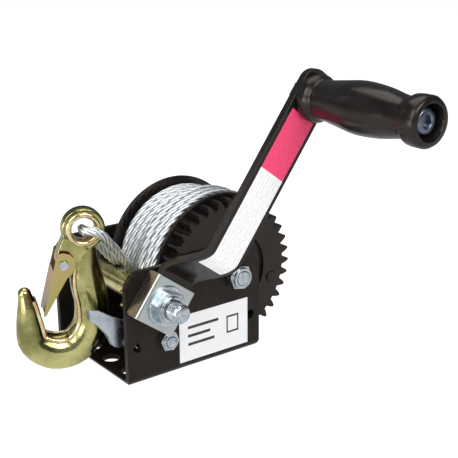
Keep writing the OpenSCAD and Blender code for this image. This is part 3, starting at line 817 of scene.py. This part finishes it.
def wound_rope():
    """One even layer, and a few looser wraps that cross it beside the near flange."""
    even_r, even_gap, even_strands = 38.2, 4.92, 40
    loose_r, loose_gap, loose_strands = 41.4, 5.3, 43
    core_r, core_ends = 37.0, 0.2
    sides, step = 24, 1.2
    low, high = DRUM_Y
    even = winding(low + ROPE_R, high - ROPE_R, even_r, even_gap, (0.0, 0.05), 0.0)
    loose = winding(-6.0, -20.6, loose_r, loose_gap, (0.5, 0.15), 0.4)
    core = [(core_r, low + core_ends), (core_r, high - core_ends)]
    core_verts, core_faces = lathe(AXLE[0], AXLE[1], core, 96)
    parts = [
        rope_mesh(even, sides, step, wrap_lay(even_r, even_strands)),
        rope_mesh(loose, sides, step, wrap_lay(loose_r, loose_strands)),
        (core_verts, core_faces, [(0.5, 0.0)] * len(core_verts)),
    ]
    verts, faces = join(*(part[:2] for part in parts))
    uvs = [uv for part in parts for uv in part[2]]
    mount(mesh_object("wound_rope", verts, faces, 70, uvs), ROPE, "rope_on_drum")


wound_rope()
route = catmull(ROPE_IN, 8)[:-1] + catmull([ROPE_IN[-1]] + LOOP, 8)
rope_verts, rope_faces, rope_uvs = rope_mesh(route, 36, 0.7)
free_rope = mount(mesh_object("free_rope", rope_verts, rope_faces, 70, rope_uvs), ROPE,
                  "rope_loop")


# ---------------------------------------------------------------- labels
def arm_outer(s):
    """Y of the arm's outer face at a distance along it."""
    for a, b in zip(ARM_OUTER, ARM_OUTER[1:]):
        if a[0] <= s <= b[0]:
            return a[1] + (b[1] - a[1]) * (s - a[0]) / (b[0] - a[0])
    return ARM_OUTER[-1][1]


def arm_outer_line():
    """The outer face's line: hub part, eased joggle and upper part, as in the part's source."""
    hub, offset, thick, start, run, steps = -45.25, 26.5, 4.5, 16.0, 20.0, 24
    line = [Vector((-12.5, hub))]
    for i in range(steps + 1):
        u = i / steps
        line.append(Vector((start + run * u, hub - offset * u * u * (3 - 2 * u))))
    line.append(Vector((140.0, hub - offset)))
    out = []
    for i, p in enumerate(line):
        t = Vector((1, 0)) if i in (0, len(line) - 1) else tangent(line, i)
        out.append((p.x + t.y * thick / 2, p.y - t.x * thick / 2))
    return out


ARM_OUTER = arm_outer_line()


def arm_label():
    """White and red film that follows the arm's outer face."""
    start, end, half, film, count = 27.2, 118.0, 8.5, 0.15, 60
    verts, uvs = [], []
    for i in range(count + 1):
        s = start + (end - start) * i / count
        y = arm_outer(s)
        for depth, across in ((0.0, -half), (0.0, half), (film, half), (film, -half)):
            verts.append(along_crank(s, y - depth, across))
            uvs.append(((s - start) / (end - start), across / (2 * half) + 0.5))
    film_mat = label_finish(
        "arm label film", [(0.0, (0.97, 0.97, 0.98)), (0.625, (0.96, 0.075, 0.20))],
        5.3, 0.34, 0.12, (0.84, 0.94))
    faces = skin(count + 1, 4)
    mount(mesh_object("arm_label_look", verts, faces, 30, uvs), film_mat, "arm_label")


def side_label():
    """White film with a few plain printed bars, standing a hair proud of the film."""
    x0, x1, z0, z1, film, ink = -11.2, 35.5, 5.0, 32.5, 0.15, 0.17
    # The film, then the bars, as parts of its length and height
    marks = [(0, 1, 0, 1), (0.12, 0.56, 0.68, 0.74), (0.12, 0.44, 0.50, 0.56),
             (0.12, 0.50, 0.32, 0.38), (0.68, 0.86, 0.34, 0.38), (0.68, 0.86, 0.68, 0.72),
             (0.68, 0.70, 0.38, 0.68), (0.84, 0.86, 0.38, 0.68)]
    box = [(0, 3, 2, 1), (4, 5, 6, 7), (0, 1, 5, 4), (1, 2, 6, 5), (2, 3, 7, 6), (3, 0, 4, 7)]
    verts, uvs, faces = [], [], []
    for u0, u1, v0, v1 in marks:
        base = len(verts)
        for y in (PLATE_FACE, PLATE_FACE - (ink if base else film)):
            for u, v in ((u0, v0), (u1, v0), (u1, v1), (u0, v1)):
                verts.append((x0 + u * (x1 - x0), y, z0 + v * (z1 - z0)))
                uvs.append((u, v))
        faces += [tuple(base + k for k in face) for face in box]
    film_mat = label_finish(
        "side label film", [(0.0, (0.98, 0.98, 0.99)), (0.985, (0.90, 0.90, 0.91))],
        1.7, 0.9, 0.5, (0.98, 1.0))
    label = mesh_object("side_label_look", verts, faces, 30, uvs)
    mount(label, film_mat, "side_label")
    label.data.materials.append(INK)
    for face in label.data.polygons[len(box):]:
        face.material_index = 1


arm_label()
side_label()
